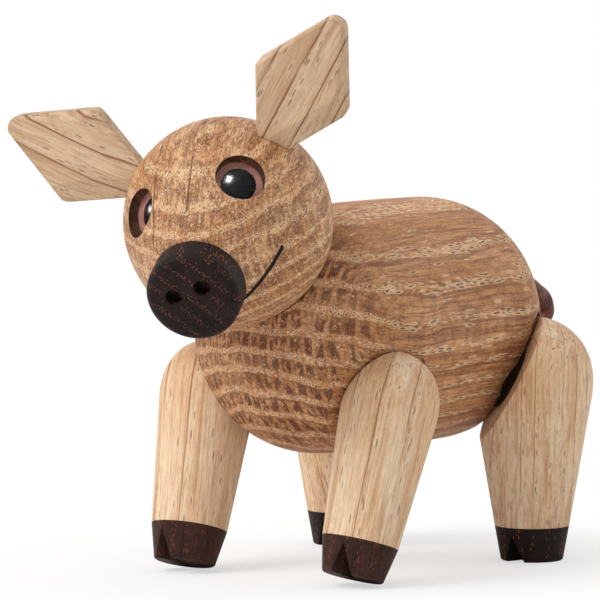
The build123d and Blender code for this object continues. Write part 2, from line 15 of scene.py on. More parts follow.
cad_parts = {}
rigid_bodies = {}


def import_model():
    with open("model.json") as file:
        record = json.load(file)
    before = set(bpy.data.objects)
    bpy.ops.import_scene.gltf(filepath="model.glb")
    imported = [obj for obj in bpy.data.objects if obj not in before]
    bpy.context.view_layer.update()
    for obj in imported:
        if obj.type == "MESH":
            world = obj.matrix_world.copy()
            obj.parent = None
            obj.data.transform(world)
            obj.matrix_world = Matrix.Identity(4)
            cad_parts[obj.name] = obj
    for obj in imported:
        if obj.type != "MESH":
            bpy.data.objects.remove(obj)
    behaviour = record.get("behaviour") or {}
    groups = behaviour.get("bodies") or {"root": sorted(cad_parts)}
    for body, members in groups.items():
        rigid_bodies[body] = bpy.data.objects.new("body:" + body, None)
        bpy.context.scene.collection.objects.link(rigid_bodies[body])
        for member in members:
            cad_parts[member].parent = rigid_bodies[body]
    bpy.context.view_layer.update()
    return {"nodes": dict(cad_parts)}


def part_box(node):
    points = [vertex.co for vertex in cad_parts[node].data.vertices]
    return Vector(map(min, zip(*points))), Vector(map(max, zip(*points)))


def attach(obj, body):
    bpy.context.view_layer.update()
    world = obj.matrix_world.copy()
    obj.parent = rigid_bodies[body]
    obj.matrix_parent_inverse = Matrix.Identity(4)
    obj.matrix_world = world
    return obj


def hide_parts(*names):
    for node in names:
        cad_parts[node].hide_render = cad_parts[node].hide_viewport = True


for leftover in list(bpy.data.objects):
    bpy.data.objects.remove(leftover, do_unlink=True)
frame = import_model()
nodes = frame["nodes"]
MM = 0.001

# %% [markdown]
# ## Sizes and directions taken over from the solids
#
# The grain of each piece follows the direction it was cut or turned in, so the materials
# need the same directions as the solids. All lengths are in millimetres and all angles in
# degrees.

# %% Sizes and directions
LEFT = Vector((1, 0, 0))
FORWARD = Vector((0, -1, 0))
UP = Vector((0, 0, 1))
BODY_CENTRE = Vector((3.408, 1.947, 43.5))
HEAD_CENTRE = BODY_CENTRE + FORWARD * 38.3 + UP * 21.0
NECK_RISE = 35.7
HEAD_TURN = 23.1
SNOUT_DROP = 28.5


def turned(vector, axis, angle):
    """A vector turned about an axis by an angle in degrees."""
    return Matrix.Rotation(math.radians(angle), 3, axis) @ vector


def angled(one, other, angle):
    """A direction between two square ones, at an angle in degrees from the first."""
    return one * math.cos(math.radians(angle)) + other * math.sin(math.radians(angle))


NECK_AXIS = angled(FORWARD, UP, NECK_RISE)
HEAD_LEFT = turned(LEFT, NECK_AXIS, HEAD_TURN)
HEAD_FORWARD = turned(angled(FORWARD, -UP, SNOUT_DROP), NECK_AXIS, HEAD_TURN)
HEAD_UP = turned(angled(UP, FORWARD, SNOUT_DROP), NECK_AXIS, HEAD_TURN)
print("head looks along", [round(part, 3) for part in HEAD_FORWARD])

# %% [markdown]
# ## Adding nodes and colours
#
# Colours are written as they look on a screen and turned to the linear values that the
# renderer works with. One small function adds any node with its settings and links, so
# each material below reads as a list of what goes into what.


# %% Node and colour helpers
def colour(code):
    """A linear colour from an sRGB hex code."""
    channels = []
    for start in (0, 2, 4):
        value = int(code[start : start + 2], 16) / 255
        linear = value / 12.92 if value <= 0.04045 else ((value + 0.055) / 1.055) ** 2.4
        channels.append(linear)
    return (*channels, 1)


def add(tree, kind, inputs=(), **settings):
    """Add a node. Each input is a value, a socket, or a node whose first output is used."""
    node = tree.nodes.new("ShaderNode" + kind)
    for name, value in settings.items():
        setattr(node, name, value)
    for place, value in inputs.items() if isinstance(inputs, dict) else enumerate(inputs):
        if isinstance(value, bpy.types.Node):
            value = value.outputs[0]
        if isinstance(value, bpy.types.NodeSocket):
            tree.links.new(value, node.inputs[place])
        else:
            node.inputs[place].default_value = value
    return node


def new_material(name):
    """An empty material and its node tree."""
    material = bpy.data.materials.new(name)
    material.use_nodes = True
    material.node_tree.nodes.clear()
    return material, material.node_tree


def plain_finish(name, surface):
    """A material that is the same all over."""
    material, tree = new_material(name)
    shader = add(tree, "BsdfPrincipled", surface)
    add(tree, "OutputMaterial", {"Surface": shader})
    return material


print("a middle grey of 808080 is", round(colour("808080")[0], 3), "in linear light")

# %% [markdown]
# ## Where a point lies in the tree
#
# Oak looks the same inside and out, because each piece was cut from a tree: yearly rings
# round a heart, fibres and open pores along the trunk, and rays from the heart outwards.
# An image wrapped round a piece would slide at its edges and repeat. So every wood here is
# worked out from the point's place in the tree, in millimetres across, out from the heart
# and along the grain. End grain then shows dots and short bars, and a side shows dashes
# and long lines, on every piece and without seams.


# %% Places in the tree
WANDER_SIZE = (14, 14, 42)
RIPPLE_SIZE = (1.6, 1.6, 7)


def tree_place(tree, centre, grain, outwards):
    """Millimetres across, out and along the grain, measured from a piece's middle."""
    grain = grain.normalized()
    outwards = (outwards - grain * outwards.dot(grain)).normalized()
    turn = Matrix((outwards.cross(grain), outwards, grain))
    return add(
        tree,
        "Mapping",
        {
            "Vector": add(tree, "TexCoord").outputs["Object"],
            "Location": -(turn @ centre),
            "Rotation": turn.to_euler(),
            "Scale": (1 / MM, 1 / MM, 1 / MM),
        },
    )


def ring_radius(tree, place, look):
    """How far out in the tree a point is, with the slow wander and ripple of real rings."""
    flat = add(tree, "VectorMath", (place, (1, 1, 0)), operation="MULTIPLY")
    heart = (0, -look["heart"], 0)
    from_heart = add(tree, "VectorMath", (flat, heart), operation="DISTANCE").outputs["Value"]
    radius = add(tree, "Math", (from_heart, look["heart"]), operation="SUBTRACT")
    for sizes, amount in ((WANDER_SIZE, look["wander"]), (RIPPLE_SIZE, look["ripple"])):
        stretched = add(tree, "Mapping", {0: place, "Scale": sizes}, vector_type="TEXTURE")
        unevenness = add(tree, "TexNoise", {"Vector": stretched, "Scale": 1.0})
        radius = add(tree, "Math", (unevenness, amount, radius), operation="MULTIPLY_ADD")
    return radius


print("rings wander over", WANDER_SIZE, "mm and ripple over", RIPPLE_SIZE, "mm")

# %% [markdown]
# ## One year's growth
#
# Each ring of oak starts with a band of wide open pores and ends with dense wood and a
# dark line. A colour ramp over the ring holds the three at once: red where the pores lie,
# blue for the dense wood and green for the dark line at its end.


# %% One year's growth
def year_bands(tree, radius, look):
    """Sockets for the pore band, the dark end line and the dense wood of each ring."""
    # Outwards the rings grow wider, so the distance is evened before it is cut into years.
    slowing = add(tree, "Math", (radius, -look["widening"], 1.0), operation="MULTIPLY_ADD")
    evened = add(tree, "Math", (radius, slowing), operation="MULTIPLY")
    rings = add(tree, "Math", (evened, look["ring"]), operation="DIVIDE")
    phase = add(tree, "Math", (rings,), operation="FRACT")
    ramp = add(tree, "ValToRGB", (phase,))
    stops = ramp.color_ramp.elements
    stops[0].color = stops[1].color = (0, 0, 0, 1)
    band, line = look["band"], look["line"]
    for share, shade in (
        (0.05, (1, 0, 0, 1)),
        (band * 0.7, (1, 0, 0, 1)),
        (band, (0.1, 0, 0.4, 1)),
        (band * 1.15, (0, 0, 1, 1)),
        (1 - line, (0, 0, 1, 1)),
        (1 - line * 0.35, (0, 1, 0.7, 1)),
        (0.985, (0, 1, 0.4, 1)),
    ):
        stops.new(share).color = shade
    return add(tree, "SeparateColor", (ramp,)).outputs


print("a year holds: pores (red), dark line (green), dense wood (blue)")

# %% [markdown]
# ## The figure of the wood
#
# Between the rings run long soft streaks and fine fibres. Short dark flecks lie along the
# rays, and on end grain the dense wood shows dark blocks. Each is a noise stretched by its
# real size in the tree and cut to a mask. The table gives, for each mask, whether it
# follows the rings, its size across, out and along the grain in millimetres, its detail and
# roughness, and the two noise levels between which it rises.

# %% Sizes of the figure
FIGURE = {
    "tone": ("plain", (9, 6, 34), 2.0, 0.5, 0.3, 0.7),
    "fibre": ("plain", (0.3, 0.3, 5), 3.0, 0.7, 0.4, 0.68),
    "patchy": ("plain", (15, 12, 40), 2.0, 0.5, 0.28, 0.5),
    "streak": ("rings", (4.0, 1.3, 40), 3.0, 0.55, 0.5, 0.64),
    "fine_streak": ("rings", (0.9, 0.4, 18), 3.0, 0.6, 0.5, 0.62),
    "crumbs": ("rings", (0.34, 0.34, 1.6), 2.0, 0.6, 0.46, 0.6),
    "broken": ("rings", (7, 3, 30), 2.0, 0.5, 0.36, 0.52),
    "rays": ("plain", (0.5, 5.0, 2.5), 3.0, 0.62, 0.48, 0.53),
    "speckle": ("plain", (0.22, 0.22, 0.7), 2.0, 0.6, 0.52, 0.6),
    "bars": ("rings", (1.2, 2.5, 6), 3.0, 0.62, 0.42, 0.5),
    "check": ("plain", (2.5, 9, 14), 2.0, 0.5, 0.5, 0.56),
}


def figure_masks(tree, place, rolled, look):
    """One mask for each row of the table, as strong as the look says."""
    masks = {}
    for name, (space, sizes, detail, roughness, low, high) in FIGURE.items():
        source = rolled if space == "rings" else place
        stretched = add(tree, "Mapping", {0: source, "Scale": sizes}, vector_type="TEXTURE")
        noise = add(
            tree,
            "TexNoise",
            {"Vector": stretched, "Scale": 1.0, "Detail": detail, "Roughness": roughness},
        )
        masks[name] = add(
            tree,
            "MapRange",
            {0: noise, 1: low, 2: high, 4: look.get(name, 1.0)},
            interpolation_type="SMOOTHSTEP",
        )
    return masks


print("figure of the wood:", ", ".join(FIGURE))

# %% [markdown]
# ## Pores
#
# The pores are tubes about 0.3 mm wide, which show as dots on end grain and as dashes on a
# side. A Voronoi pattern stretched along the grain gives one tube per cell, and the cell's
# random colour decides whether it is open: nearly all are in the pore band and few outside
# it. Round each open pore a pale ring is a painted highlight, where light catches the
# pore's edge. The real tubes are a little finer; they are drawn as coarse as they need to
# be to show.


# %% Pores
HOLE_EDGE = (0.2, 0.4)
# The pale ring round each open pore is a painted highlight, where light catches its edge.
HIGHLIGHT_RING_EDGE = (0.4, 0.72)


def pore_masks(tree, rolled, pore_band, look):
    """The open pores and the painted highlights round them."""
    width = look["pore"]
    cell = (width, width, width * look["pore_run"])
    stretched = add(tree, "Mapping", {0: rolled, "Scale": cell}, vector_type="TEXTURE")
    cells = add(tree, "TexVoronoi", {"Vector": stretched, "Scale": 1.0})
    luck = add(tree, "SeparateColor", (cells.outputs["Color"],))
    chance = add(
        tree, "Math", (pore_band, look["crowd"], look["stray"]), operation="MULTIPLY_ADD"
    )
    open_pore = add(tree, "Math", (luck, chance), operation="LESS_THAN")
    masks = []
    for edge, share in ((HOLE_EDGE, look["pore_share"]), (HIGHLIGHT_RING_EDGE, look["highlight_ring_share"])):
        disc = add(
            tree,
            "MapRange",
            {0: cells.outputs["Distance"], 1: edge[0], 2: edge[1], 3: share, 4: 0.0},
            interpolation_type="SMOOTHSTEP",
        )
        masks.append(add(tree, "Math", (disc, open_pore), operation="MULTIPLY"))
    return masks


print("a hole ends at", HOLE_EDGE[1], "and its worn rim at", HIGHLIGHT_RING_EDGE[1], "of a cell")

# %% [markdown]
# ## Rays, drying checks and end grain
#
# Rays run from the heart to the bark and part the dense wood into dark blocks, which show
# on end grain only. Where the wood has dried, some open into thin dark slits, the checks.
# Both are lines at nearly even distances across the tree: a Ping-Pong of the distance,
# bent by a noise, is the simplest way to repeat them. Whether a surface is end grain is
# read from its own direction, because a block that is cut along its length shows nothing.


# %% Rays, checks and end grain
RAY_BEND_SIZE = (4, 6, 14)
END_GRAIN_FROM = 0.2
END_GRAIN_FULL = 0.62
LINE_CORE = 0.2
LINE_EDGE = 0.6
CHECK_BEND = 1.0


def ray_lines(tree, place, apart, width, bend):
    """Lines along the rays at nearly even distances, bent as real rays are."""
    across = add(tree, "SeparateXYZ", (place,)).outputs[0]
    stretched = add(tree, "Mapping", {0: place, "Scale": RAY_BEND_SIZE}, vector_type="TEXTURE")
    noise = add(tree, "TexNoise", {"Vector": stretched, "Scale": 1.0})
    bent = add(tree, "Math", (noise, bend, across), operation="MULTIPLY_ADD")
    beside = add(tree, "Math", (bent, apart / 2), operation="PINGPONG")
    return add(
        tree,
        "MapRange",
        {0: beside, 1: width * LINE_CORE, 2: width * LINE_EDGE, 3: 1.0, 4: 0.0},
        interpolation_type="SMOOTHSTEP",
    )


def check_mask(tree, place, where, look):
    """Thin slits along the rays, only where the mask allows them."""
    slit = ray_lines(tree, place, look["check_apart"], look["check_width"], CHECK_BEND)
    across = add(tree, "SeparateXYZ", (place,)).outputs[0]
    off_centre = add(tree, "Math", (across,), operation="ABSOLUTE")
    near = add(tree, "Math", (off_centre, look["check_reach"]), operation="LESS_THAN")
    allowed = add(tree, "Math", (near, where), operation="MULTIPLY")
    return add(tree, "Math", (slit, allowed), operation="MULTIPLY")


def end_grain_share(tree, grain):
    """1 on end grain and 0 on a side, from the surface's own direction."""
    normal = add(tree, "TexCoord").outputs["Normal"]
    lean = add(tree, "VectorMath", (normal, grain), operation="DOT_PRODUCT").outputs["Value"]
    size = add(tree, "Math", (lean,), operation="ABSOLUTE")
    return add(
        tree,
        "MapRange",
        {0: size, 1: END_GRAIN_FROM, 2: END_GRAIN_FULL},
        interpolation_type="SMOOTHSTEP",
    )


start_angle = math.degrees(math.asin(END_GRAIN_FROM))
print("end grain starts where a surface leans over", round(start_angle), "degrees")

# %% [markdown]
# ## The tones, one over another
#
# A painter of wood grain lays thin coats over each other, from the widest figure to the
# smallest, and so does this chain of Mix nodes. The crumbs keep to the pore band, the blocks
# to the dense wood between the rays and to end grain, and the dark line to the year's end.


# %% Lay the tones
def keep_to(tree, masks, limits):
    """Multiply each named mask with the mask that it has to keep to."""
    for name, limit in limits:
        masks[name] = add(tree, "Math", (masks[name], limit), operation="MULTIPLY")


def laid_tint(tree, first, coats):
    """The colour that is left when every coat lies over the one before."""
    tint = colour(first)
    for mask, code in coats:
        over = add(tree, "Mix", {0: mask, 6: tint, 7: colour(code)}, data_type="RGBA")
        tint = over.outputs[2]
    return tint


print("tones are laid with Mix nodes, widest figure first")

# %% [markdown]
# ## Oiled and waxed oak
#
# All pieces were turned or sawn, sanded and then waxed or oiled. Wax leaves a soft sheen,
# with a roughness near 0.5, and the open pores stay dull and slightly sunken. The Bevel
# node rounds the edges in the shading, as sanding does. It changes no shape.


# %% The wood
PIT_ROUGHNESS = 0.9
FIBRE_HEIGHT = 0.8
PIT_DEPTH = 0.15


def wood(name, centre, grain, outwards, look):
    """A wood with its grain along one direction and the tree's bark in another."""
    material, tree = new_material(name)
    place = tree_place(tree, centre, grain, outwards)
    across, out, along = add(tree, "SeparateXYZ", (place,)).outputs
    radius = ring_radius(tree, place, look)
    rolled = add(tree, "CombineXYZ", (across, radius, along))
    pore_band, end_line, dense = year_bands(tree, radius, look)[:3]
    masks = figure_masks(tree, place, rolled, look)
    pores, pore_highlights = pore_masks(tree, rolled, pore_band, look)
    checks = check_mask(tree, place, masks["check"], look)
    gaps = ray_lines(tree, place, look["block"], look["block_gap"], look["block"])
    blocks = add(tree, "Math", (1.0, gaps), operation="SUBTRACT")
    limits = (
        ("crumbs", pore_band),
        ("bars", dense),
        ("bars", blocks),
        ("bars", end_grain_share(tree, grain)),
        ("bars", masks["patchy"]),
        ("broken", end_line),
    )
    keep_to(tree, masks, limits)
    coats = (
        (masks["tone"], look["middle"]),
        (masks["fibre"], look["dark"]),
        (masks["streak"], look["dark"]),
        (masks["fine_streak"], look["dark"]),
        (masks["rays"], look["bar_tint"]),
        (masks["bars"], look["bar_tint"]),
        (masks["speckle"], look["light"]),
        (masks["crumbs"], look["light"]),
        (masks["broken"], look["line_tint"]),
        # The pale ring round each pore is a painted highlight.
        (pore_highlights, look["highlight_ring_tint"]),
        (pores, look["pore_tint"]),
        (checks, look["pore_tint"]),
    )
    pits = add(tree, "Math", (pores, checks), operation="MAXIMUM")
    fibres = add(tree, "Math", (masks["fibre"], FIBRE_HEIGHT), operation="MULTIPLY")
    relief = {
        "Strength": look["relief"],
        "Distance": PIT_DEPTH * MM,
        "Height": add(tree, "Math", (fibres, pits), operation="SUBTRACT"),
        "Normal": add(tree, "Bevel", {"Radius": look["rounding"] * MM}, samples=4),
    }
    surface = {
        "Base Color": laid_tint(tree, look["light"], coats),
        "Roughness": add(tree, "MapRange", {0: pits, 3: look["rough"], 4: PIT_ROUGHNESS}),
        "Specular IOR Level": look["gloss"],
        "Normal": add(tree, "Bump", relief),
    }
    add(tree, "OutputMaterial", {"Surface": add(tree, "BsdfPrincipled", surface)})
    return material


print("pores are sunk by", PIT_DEPTH, "mm")

# %% [markdown]
# ## Waxed oak of a middle brown
#
# The body and the head are turned from oak with wide rings and strong rays, and waxed.
# Wax deepens the brown and lets the open pores show as dark dots, with pale rings round
# them that are painted highlights. Each entry is a size in millimetres, a share of 1 or a
# colour: first the rings, then the pores, then how strong each figure is, then the tones
# and the finish. The head is cut more evenly, so it has finer blocks, more rays and a few
# checks.

# %% Waxed oak
WAXED_OAK = dict(
    heart=75.0,
    wander=5.0,
    ripple=0.8,
    ring=3.9,
    widening=0.007,
    band=0.34,
    line=0.14,
    broken=0.3,
    line_tint="5E3820",
    pore=0.45,
    pore_run=7.0,
    stray=0.04,
    crowd=0.7,
    pore_share=0.8,
    pore_tint="502C18",
    # The pale ring round each pore is a painted highlight on its edge.
    highlight_ring_share=0.7,
    highlight_ring_tint="EAC8A0",
    crumbs=0.6,
    bars=0.95,
    bar_tint="5C301A",
    block=1.9,
    block_gap=0.75,
    rays=0.3,
    speckle=0.3,
    streak=0.5,
    fine_streak=0.6,
    fibre=0.35,
    check=0.0,
    check_apart=7.0,
    check_width=0.3,
    check_reach=11.0,
    light="D6A275",
    middle="BC8352",
    dark="763E1C",
    relief=0.8,
    rough=0.55,
    gloss=0.25,
    rounding=0.2,
)
HEAD_OAK = dict(
    WAXED_OAK,
    ring=3.4,
    widening=0.0,
    wander=3.0,
    broken=0.1,
    bars=0.6,
    block=1.2,
    block_gap=0.5,
    rays=0.55,
    bar_tint="6E4024",
    speckle=0.5,
    crowd=0.6,
    light="E2B68A",
    check=0.8,
)
print("waxed oak rings in mm:", WAXED_OAK["ring"], HEAD_OAK["ring"])

# %% [markdown]
# ## Oiled pale oak
#
# The legs and the ears are cut from the pale outer wood and only oiled, so they stay light
# and their figure is faint. What catches the eye is the thin brown line that ends each
# year. The ears have it closer and are rounder at their edges. Their tones are a darker,
# greyer copy of the legs', which is painted shade on the ears.

# %% Oiled pale oak
PALE_OAK = dict(
    WAXED_OAK,
    heart=40.0,
    ripple=0.3,
    wander=2.0,
    ring=5.0,
    widening=0.0,
    band=0.3,
    line=0.07,
    broken=0.9,
    line_tint="84522C",
    stray=0.04,
    crowd=0.5,
    pore_share=0.65,
    pore_tint="74482C",
    highlight_ring_share=0.2,
    highlight_ring_tint="EAD3B4",
    crumbs=0.3,
    bars=0.12,
    bar_tint="A87E5C",
    rays=0.1,
    speckle=0.15,
    streak=0.4,
    fine_streak=0.45,
    fibre=0.3,
    check=0.0,
    light="EAD3B4",
    middle="DCB68C",
    dark="AE7444",
    relief=0.55,
)
# A darker, greyer copy of the pale oak: painted shade on the ears, which face the lamp.
SHADED_EAR_OAK = dict(
    PALE_OAK,
    ring=4.6,
    line=0.11,
    light="D6BA9A",
    middle="C4A381",
    dark="9A7250",
    line_tint="7A4526",
    rounding=0.5,
)
print("pale oak rings in mm:", PALE_OAK["ring"], SHADED_EAR_OAK["ring"])

# %% [markdown]
# ## Fumed oak
#
# Ammonia fumes turn the tannin in oak nearly black, right through the piece. The pores stay
# reddish brown, in rows of dots on the snout's end grain. The front hooves get a lighter,
# redder copy of it, which is painted light where the lamp falls on them.

# %% Fumed oak
FUMED_OAK = dict(
    WAXED_OAK,
    heart=60.0,
    wander=0.5,
    ripple=0.15,
    ring=2.6,
    widening=0.0,
    band=0.42,
    broken=0.2,
    line_tint="120C0A",
    pore=0.36,
    pore_run=3.5,
    stray=0.04,
    crowd=1.0,
    pore_share=0.9,
    pore_tint="84503E",
    highlight_ring_share=0.0,
    crumbs=0.0,
    bars=0.2,
    bar_tint="171010",
    rays=0.2,
    speckle=0.0,
    streak=0.3,
    fine_streak=0.3,
    fibre=0.3,
    check=0.0,
    light="2B1F1D",
    middle="221816",
    dark="120B09",
    rough=0.5,
    gloss=0.1,
    rounding=0.3,
)
# A lighter, redder copy of the fumed oak: painted light on the front hooves.
LIT_HOOF_OAK = dict(
    FUMED_OAK,
    light="4C2F27",
    middle="38231D",
    dark="1E120E",
    pore_tint="74463A",
)
print("fumed oak rings in mm:", FUMED_OAK["ring"])

# %% [markdown]
# ## Finish of each piece
#
# Every piece of wood gets its own material, with the grain along the piece and the bark on
# the side that the photograph's figure asks for. One material for all would run the same
# rings through every piece, as if the pig were carved from one block.


# %% Dress the solids
def dress(node_name, material):
    """Give a solid one material."""
    mesh = nodes[node_name].data
    mesh.materials.clear()
    mesh.materials.append(material)


def middle_of(node_name):
    """The middle of a solid's box, in millimetres."""
    low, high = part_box(node_name)
    return (low + high) / 2 / MM


# The legs' and hooves' bark lay where the picture's right is.
LEG_BARK = Vector((0.804, 0.595, 0))
SNOUT_BARK = angled(HEAD_UP, HEAD_LEFT, 60)
HEAD_BARK = angled(HEAD_UP, HEAD_LEFT, 12)
HIND_OAK = dict(PALE_OAK, ring=2.4)
dress("body", wood("waxed_oak_body", BODY_CENTRE, FORWARD, UP, WAXED_OAK))
dress("head", wood("waxed_oak_head", HEAD_CENTRE, HEAD_FORWARD, HEAD_BARK, HEAD_OAK))
snout_middle = middle_of("snout")
dress("snout", wood("fumed_oak_snout", snout_middle, HEAD_FORWARD, SNOUT_BARK, FUMED_OAK))
for side in ("left", "right"):
    ear = side + "_ear"
    ear_axis = (middle_of(ear) - HEAD_CENTRE).normalized()
    ear_bark = ear_axis.cross(HEAD_FORWARD)
    dress(ear, wood("pale_oak_" + ear, middle_of(ear), ear_axis, ear_bark, SHADED_EAR_OAK))
    for place in ("front", "hind"):
        corner = side + "_" + place
        top, sole = middle_of(corner + "_leg"), middle_of(corner + "_hoof")
        leg_axis = (top - sole).normalized()
        bark = LEG_BARK if place == "front" else top - BODY_CENTRE
        leg_look = PALE_OAK if place == "front" else HIND_OAK
        hoof_look = LIT_HOOF_OAK if place == "front" else FUMED_OAK
        dress(corner + "_leg", wood("pale_oak_" + corner, top, leg_axis, bark, leg_look))
        hoof_oak = wood("fumed_oak_" + corner, sole, leg_axis, LEG_BARK, hoof_look)
        dress(corner + "_hoof", hoof_oak)
oaks = [material.name for material in bpy.data.materials if "oak_" in material.name]
print("pieces dressed in oak:", len(oaks))

# %% [markdown]
# ## Where the head's surface lies
#
# The head is a ball behind and a cone with bulging cheeks in front. The mouth and the eyes
# are set by two angles, from the snout and from the crown. So their places can be worked
# out again here, from the same values as the solids.

# %% The head's surface
HEAD_RADIUS = 18.5
CHEEK_RADIUS = 53.4
CHEEK_START = 67.0


def head_surface(angle):
    """Distance from the head's middle to its surface, at an angle from the snout."""
    if angle >= CHEEK_START:
        return HEAD_RADIUS
    offset = math.radians(CHEEK_START - angle)
    shift = CHEEK_RADIUS - HEAD_RADIUS
    reach = math.sqrt(CHEEK_RADIUS**2 - (shift * math.sin(offset)) ** 2)
    return reach - shift * math.cos(offset)


def head_ray(side, angle, sideways):
    """A direction at an angle from the snout, and sideways from the crown."""
    return angled(HEAD_FORWARD, angled(HEAD_UP, HEAD_LEFT * side, sideways), angle)


print("the cheek starts at", round(head_surface(CHEEK_START), 1), "mm from the head's middle")

# %% [markdown]
# ## Burned groove and drilled holes
#
# The smile is a burned, nearly black groove on one arc. The walls of the eye holes are raw
# end grain, given a dark brown that is painted shade, for the shadow that falls in the
# holes. Both belong to the head's solid, so their faces are found by their place and given
# a second material.

# %% Find faces by their place
# A mark on the head is given in degrees from the snout and sideways from the crown.
MOUTH = ((20.8, 135.5), (32.0, 111.0), (43.5, 98.6))
MOUTH_WIDTH = 0.85
EYES = ((1, 57.2, 43.5), (-1, 52.0, 38.0))
EYE_HOLE_RADIUS = 4.4
CLOSE = 0.06


def arc_points(first, second, third, count=40):
    """Points on the circle through three points, from the first to the third."""
    one, two = first - third, second - third
    square = one.cross(two)
    towards = (two * one.length_squared - one * two.length_squared).cross(square)
    centre = third + towards / (2 * square.length_squared)
    radius = (first - centre).length
    points = []
    for index in range(count + 1):
        share = index / count
        if share < 0.5:
            chord = first.lerp(second, share * 2)
        else:
            chord = second.lerp(third, share * 2 - 1)
        points.append(centre + (chord - centre).normalized() * radius)
    return points


def set_faces(node_name, material, chosen):
    """Give a solid's chosen faces a second material."""
    mesh = nodes[node_name].data
    mesh.materials.append(material)
    slot_number = len(mesh.materials) - 1
    count = 0
    for polygon in mesh.polygons:
        if chosen([mesh.vertices[index].co / MM for index in polygon.vertices]):
            polygon.material_index = slot_number
            count += 1
    return count


print("the smile is", MOUTH_WIDTH, "mm wide, the eye holes", 2 * EYE_HOLE_RADIUS)

# %% Mouth and eye holes
# Charred wood in a groove is matt and swallows light.
burned = plain_finish("burned_groove", {"Base Color": colour("17110E"), "Roughness": 0.8})
# The hole's wall is given a dark brown wood: painted shade for the shadow in the eye holes.
HOLE_SHADE_OAK = dict(
    WAXED_OAK,
    light="321C14",
    middle="24130D",
    dark="100704",
    highlight_ring_tint="321C14",
)
hole_shade = wood("drilled_oak", HEAD_CENTRE, HEAD_FORWARD, HEAD_UP, HOLE_SHADE_OAK)
for side in (1, -1):
    marks = [HEAD_CENTRE + head_ray(side, *spot) * head_surface(spot[0]) for spot in MOUTH]
    smile = arc_points(*marks)

    def in_smile(corners):
        """All corners lie on the groove's wall."""
        return all(
            min((corner - point).length for point in smile) < MOUTH_WIDTH / 2 + CLOSE
            for corner in corners
        )

    print("mouth faces:", set_faces("head", burned, in_smile))
for side, angle, sideways in EYES:
    eye_ray = head_ray(side, angle, sideways)

    def in_hole(corners):
        """All corners lie in the eye's hole."""
        return all(
            (corner - HEAD_CENTRE).dot(eye_ray) > 0
            and ((corner - HEAD_CENTRE).cross(eye_ray)).length < EYE_HOLE_RADIUS + CLOSE
            for corner in corners
        )

    print("eye hole faces:", set_faces("head", hole_shade, in_hole))

# %% [markdown]
# ## Glass, lacquer, nylon and beech
#
# A glass eye is a clear dome over a painted disc. The lacquers under it stay dull, so that
# only the dome mirrors the room. The bushes in the body are moulded nylon and the pegs plain
# beech. All but the beech are the same all over.

# %% Eyes, bushes and dowels
# Polished glass: clear, with a weak mirror. Its index is lower than that of real glass, near
# 1.5, and its coat weak, so that the pupil under it stays black in a white room. The coat's
# small roughness keeps the lamps' mirror image free of grain.
glass = plain_finish(
    "polished_glass",
    {
        "Base Color": colour("FFFFFF"),
        "Roughness": 0.0,
        "IOR": 1.06,
        "Transmission Weight": 1.0,
        "Coat Weight": 0.05,
        "Coat Roughness": 0.22,
        "Coat IOR": 1.5,
    },
)
# Brushed lacquer, sealed under the glass: flat black and flat brown.
black = plain_finish(
    "black_lacquer",
    {"Base Color": colour("050506"), "Roughness": 0.5, "Specular IOR Level": 0.0},
)
brown = plain_finish(
    "brown_lacquer",
    {"Base Color": colour("5C3D36"), "Roughness": 0.5, "Specular IOR Level": 0.1},
)
# Moulded nylon, dull and dark brown. Its near-black tone is also painted shade, for the shadow in
# the gap between body and leg.
nylon_gap_shade = plain_finish(
    "moulded_dark_nylon",
    {"Base Color": colour("21140E"), "Roughness": 0.8, "Specular IOR Level": 0.1},
)
# Beech pegs, turned and left plain: pale, with much finer rings than oak.
beech = wood("beech_dowel", BODY_CENTRE, UP, LEFT, dict(PALE_OAK, ring=1.4))
for endings, material in (
    (("lens",), glass),
    (("pupil",), black),
    (("iris",), brown),
    (("bush",), nylon_gap_shade),
    (("dowel", "axle"), beech),
):
    chosen = [node_name for node_name in nodes if node_name.endswith(endings)]
    for node_name in chosen:
        dress(node_name, material)
    print(material.name, "on", len(chosen), "solids")

# %% [markdown]
# ## The polished domes of the eyes
#
# A glass eye is ground and fire polished, so it mirrors a window with clean edges, which the
# solid's flat facets would break. A dome could be spun from a profile or cut from a sphere.
# The cut sphere has the exact radius with no profile to draw. A short straight edge and a
# flat underside close it, and it sits at the solid's own place.

# %% Build the domes
EYE_HOLE_DEPTH = 4.3
DISC_THICKNESS = 0.8
GLUE_GAP = 0.05
LENS_RADIUS = 5.25
LENS_CROWN = 2.1
LENS_EDGE = 0.5
LENS_SHARP = 35


def finished_piece(shape, name, sharp, material):
    """Turn a built shape into a smooth piece, with its edges sharp over an angle."""
    bmesh.ops.recalc_face_normals(shape, faces=shape.faces)
    faulty = sum(not edge.is_manifold for edge in shape.edges)
    print(name, "faces:", len(shape.faces), "edges without two faces:", faulty)
    mesh = bpy.data.meshes.new(name)
    shape.to_mesh(mesh)
    shape.free()
    mesh.shade_smooth()
    mesh.set_sharp_from_angle(angle=math.radians(sharp))
    mesh.materials.append(material)
    piece = bpy.data.objects.new(name, mesh)
    bpy.context.scene.collection.objects.link(piece)
    return piece


def open_rim(shape):
    """The edges that have a face on one side only."""
    return [edge for edge in shape.edges if edge.is_boundary]


